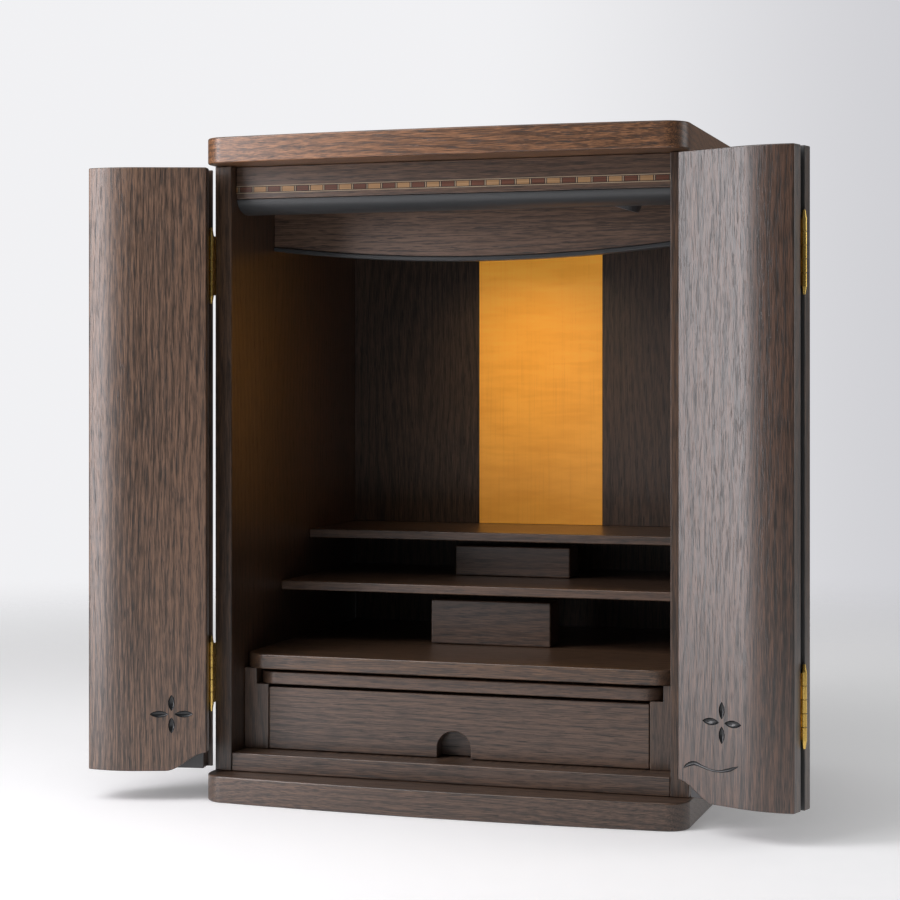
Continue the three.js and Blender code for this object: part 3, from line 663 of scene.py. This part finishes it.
for side, s in (("left", -1), ("right", 1)):
    toA, toB = leaf_frames(side, s)
    za, zb = size(f"door_{side}_leaf_a")[4:]
    edgeA = PIN_X - 5.5
    a1 = FOLD_X + 0.5
    # leaf A
    outer = []
    nA = 30
    for i in range(nA + 1):
        x = PIN_X - 2.5 - (PIN_X - 2.5 - a1) * i / nA
        outer.append((x, INNER_Y - leaf_a(PIN_X - x)))
    plan = [(a1, INNER_Y), (edgeA, INNER_Y), (edgeA, INNER_Y - 13.5), (PIN_X - 0.8, INNER_Y - 13.5), (PIN_X - 0.8, INNER_Y - 16)] + outer
    ob = bevel(prism(f"door_{side}_leaf_a_piece", plan, za, zb, "z", [M_DOOR[f"{side}_a"], M_CHAR_V]), 0.8, 3, 32)
    cuts = [block("pocket", edgeA - PLATE_T - 0.1, edgeA + 4, INNER_Y + 3, INNER_Y - 13.1, z - PLATE_L / 2 - 0.15, z + PLATE_L / 2 + 0.15, [M_CHAR_V]) for z in HINGE_Z]
    cuts += [block("pocket", FOLD_X - 2, FOLD_X + 12.75, INNER_Y - PLATE_T - 0.1, INNER_Y + 5, z - PLATE_L / 2 - 0.15, z + PLATE_L / 2 + 0.15, [M_CHAR_V]) for z in HINGE_Z]
    ob = carve(ob, *cuts)
    for p in ob.data.polygons:
        if p.normal.y > 0.9 and p.center.y > (INNER_Y - 1.5) * MM:
            p.material_index = 1
    me = ob.data
    me.transform(Matrix.Identity(4))
    for v in me.vertices:
        v.co = toA(v.co)
    if s < 0:
        me.flip_normals()
    me.update()
    put(shade(ob), f"door_{side}_a", "oak", f"door_{side}_leaf_a")

    # leaf B: plan, hand-hold notch, pockets, carving
    b1 = FOLD_X - 1.2
    prof = []
    nB = 60
    for i in range(nB + 1):
        x = FREE + (b1 - FREE) * i / nB
        if FREE < x < FREE + 61 and i not in (0,):
            continue
        prof.append((x, INNER_Y - leaf_b(x - FREE)))
    plan = [(b1, INNER_Y), (FREE, INNER_Y)] + prof
    zlo, zhi = size(f"door_{side}_leaf_b")[4:]
    ob = prism(f"door_{side}_leaf_b_piece", plan, zlo, zhi, "z", [M_DOOR[f"{side}_b"], M_CHAR_V, M_CARVE])
    notch = [(FREE - 5, zlo - 5), (FREE - 5, zlo + NOTCH_H)] + [(FREE + NOTCH_W * k / 24, zlo + NOTCH_H * (0.5 + 0.5 * math.cos(math.pi * k / 24))) for k in range(25)] + [(FREE + NOTCH_W, zlo - 5)]
    ob = carve(ob, prism("notch", notch, -260, -100, "y", [M_DOOR[f"{side}_b"]]))
    # faces cut flat are joined again so that the edges round off evenly
    bm = bmesh.new()
    bm.from_mesh(ob.data)
    bmesh.ops.remove_doubles(bm, verts=bm.verts, dist=1e-6)
    bmesh.ops.dissolve_limit(bm, angle_limit=math.radians(0.2), verts=bm.verts, edges=bm.edges)
    bm.to_mesh(ob.data)
    bm.free()
    ob = bevel(ob, 1.1, 4, 32)
    cuts = [block("pocket", FOLD_X + 2, FOLD_X - 12.75, INNER_Y - PLATE_T - 0.1, INNER_Y + 5, z - PLATE_L / 2 - 0.15, z + PLATE_L / 2 + 0.15, [M_CHAR_V]) for z in HINGE_Z]
    ob = carve(ob, *cuts)

    def on_face(t, z, depth, s=s):
        """A point on the outer face of leaf B, at t from the meeting edge, sunk by depth."""
        y = INNER_Y - leaf_b(t)
        return Vector(((FREE + t) * MM, (y + depth) * MM, z * MM))
    ft, fz = FLOWER[side]
    cutters = []
    for (a, b, w) in (((ft - 2.8, fz), (ft - 19.4, fz), 6.0), ((ft + 2.8, fz), (ft + 19.4, fz), 6.0),
                      ((ft, fz + 3.0), (ft, fz + 17.4), 5.8), ((ft, fz - 3.0), (ft, fz - 17.4), 5.8)):
        line, widths = petal(a, b, w)
        cutters.append(groove_cutter("petal", line, widths, 2.5, 1.2, on_face))
    if side == "right" and len(SPRIG) > 1:
        cutters.append(groove_cutter("sprig", [p for p, _ in SPRIG], [w * 1.35 for _, w in SPRIG], 1.6, 1.0, on_face))
    ob = carve(ob, *cutters)
    for p in ob.data.polygons:
        if p.material_index == 0 and p.normal.y > 0.9 and p.center.y > (INNER_Y - 1.5) * MM:
            p.material_index = 1
    me = ob.data
    for v in me.vertices:
        v.co = toB(v.co)
    if s < 0:
        me.flip_normals()
    me.update()
    put(shade(ob), f"door_{side}_b", "oak", f"door_{side}_leaf_b")


# ----------------------------------------------------------------- the hinges
def refined(node, mats, width, segs=2, body=None, slot=None, angle=34):
    """The CAD piece with its edges rounded."""
    bm = bmesh.new()
    bm.from_mesh(NODES[node].data)
    bmesh.ops.remove_doubles(bm, verts=bm.verts, dist=2e-6)
    bmesh.ops.dissolve_limit(bm, angle_limit=math.radians(0.5), verts=bm.verts, edges=bm.edges)
    bmesh.ops.recalc_face_normals(bm, faces=bm.faces)
    ob = new_object(node + "_piece", bm, mats)
    for p in ob.data.polygons:
        p.material_index = 0
    ob = bevel(ob, width, segs, angle)
    return put(shade(ob), body, slot, node)


for side in ("left", "right"):
    for lv in ("lower", "upper"):
        refined(f"case_hinge_{side}_{lv}_pin", [M_BRASS], 0.12, 2, "case", "brass")
        refined(f"case_hinge_{side}_{lv}_leaf", [M_BRASS], 0.12, 2, f"door_{side}_a", "brass")
        refined(f"fold_hinge_{side}_{lv}_pin", [M_BRASS], 0.12, 2, f"door_{side}_a", "brass")
        refined(f"fold_hinge_{side}_{lv}_leaf", [M_BRASS], 0.12, 2, f"door_{side}_b", "brass")

refined("spot_bracket", [M_LAMP_DARK], 0.3, 2, "case", "lamp")
refined("spot_head", [M_LAMP], 0.5, 3, "spot", "lamp")

# ------------------------------------------------------ floor, light, camera
bm = bmesh.new()
bmesh.ops.create_circle(bm, cap_ends=True, segments=96, radius=7.0)
floor = new_object("studio_floor", bm, [])
t = Tree("studio_floor")
rad = t.nt.nodes.new("ShaderNodeVectorMath")
rad.operation = "LENGTH"
t.link(t.tc.outputs["Object"], rad.inputs[0])
grit = t.noise(t.mapped((40, 40, 40)), 1.0, 2, 0.5)
t.link(t.mix(grit, (0.86, 0.86, 0.87), (0.90, 0.90, 0.91)), t.bs.inputs["Base Color"])
t.link(t.linear(grit, 0.2, 0.8, 0.55, 0.62), t.bs.inputs["Roughness"])
# painted shadow: the floor's even glow is darkened near the cabinet by the AO node, a contact shadow painted into the
# emission
ao = t.nt.nodes.new("ShaderNodeAmbientOcclusion")
ao.inputs["Distance"].default_value = 0.30
ao.samples = 8
t.link(t.mix(t.smooth(ao.outputs["AO"], 0.15, 1.0), (0.28, 0.28, 0.29), (1.0, 1.0, 1.01)), t.bs.inputs["Emission Color"])
t.bs.inputs["Emission Strength"].default_value = 0.35
clear = t.nt.nodes.new("ShaderNodeBsdfTransparent")
fade = t.nt.nodes.new("ShaderNodeMixShader")
t.link(t.smooth(rad.outputs["Value"], 0.75, 2.3), fade.inputs[0])
t.link(t.bs.outputs[0], fade.inputs[1])
t.link(clear.outputs[0], fade.inputs[2])
t.link(fade.outputs[0], t.out.inputs[0])
floor.data.materials.append(t.m)

world = bpy.data.worlds.new("studio")
scene.world = world
world.use_nodes = True
wt = world.node_tree
wt.nodes.clear()
wo = wt.nodes.new("ShaderNodeOutputWorld")
bg = wt.nodes.new("ShaderNodeBackground")
bgc = wt.nodes.new("ShaderNodeBackground")
mixw = wt.nodes.new("ShaderNodeMixShader")
lp = wt.nodes.new("ShaderNodeLightPath")
tcw = wt.nodes.new("ShaderNodeTexCoord")
# painted shade: the backdrop the camera sees is painted darker towards the right of the view
dot = wt.nodes.new("ShaderNodeVectorMath")
dot.operation = "DOT_PRODUCT"
AZ = math.radians(17.65)
dot.inputs[1].default_value = (math.cos(AZ), math.sin(AZ), 0.0)
wt.links.new(tcw.outputs["Generated"], dot.inputs[0])
ramp = wt.nodes.new("ShaderNodeMapRange")
ramp.interpolation_type = "SMOOTHSTEP"
wt.links.new(dot.outputs["Value"], ramp.inputs[0])
for i, x in zip((1, 2, 3, 4), (0.0, 0.24, 0.0, 1.0)):
    ramp.inputs[i].default_value = x
mc = wt.nodes.new("ShaderNodeMix")
mc.data_type = "RGBA"
wt.links.new(ramp.outputs[0], mc.inputs[0])
mc.inputs[6].default_value = (0.88, 0.88, 0.90, 1)
mc.inputs[7].default_value = (0.62, 0.62, 0.65, 1)
wt.links.new(mc.outputs[2], bgc.inputs[0])
bgc.inputs[1].default_value = 1.0
bg.inputs[0].default_value = (0.98, 0.99, 1.0, 1)
bg.inputs[1].default_value = 0.10
wt.links.new(lp.outputs["Is Camera Ray"], mixw.inputs[0])
wt.links.new(bg.outputs[0], mixw.inputs[1])
wt.links.new(bgc.outputs[0], mixw.inputs[2])
wt.links.new(mixw.outputs[0], wo.inputs[0])


def area(name, loc, target, w, h, power, color=(1, 1, 1)):
    l = bpy.data.lights.new(name, "AREA")
    l.shape = "RECTANGLE"
    l.size, l.size_y = w, h
    l.energy = power
    l.color = color
    ob = bpy.data.objects.new(name, l)
    scene.collection.objects.link(ob)
    ob.location = loc
    d = Vector(target) - Vector(loc)
    ob.rotation_euler = d.to_track_quat("-Z", "Y").to_euler()
    return ob


area("overhead_softbox", (-0.75, -1.05, 1.9), (0, -0.12, 0.25), 1.4, 1.2, 20)
area("left_softbox", (-0.93, -0.95, 0.60), (0.0, -0.15, 0.38), 0.42, 1.5, 15.0, (1.0, 0.965, 1.0))
# the warm lamps behind the valance
lamp = area("altar_lamp", (0.0, 0.02, 0.548), (0.0, 0.17, 0.34), 0.11, 0.02, 0.08, (1.0, 0.74, 0.42))
lamp.data.spread = math.radians(70)
area("right_fill", (1.75, 0.35, 0.80), (0.20, 0.0, 0.35), 0.8, 1.4, 7)

cam = bpy.data.cameras.new("camera")
co = bpy.data.objects.new("camera", cam)
scene.collection.objects.link(co)
co.location = (0.5745, -1.9449, 0.3782)
co.rotation_euler = (math.radians(90), 0, AZ)
cam.lens = 85.3
cam.sensor_width = 36
cam.shift_x = 0.0029
cam.shift_y = -0.0743
cam.clip_end = 60
scene.camera = co
scene.view_settings.view_transform = "Standard"
scene.view_settings.look = "None"
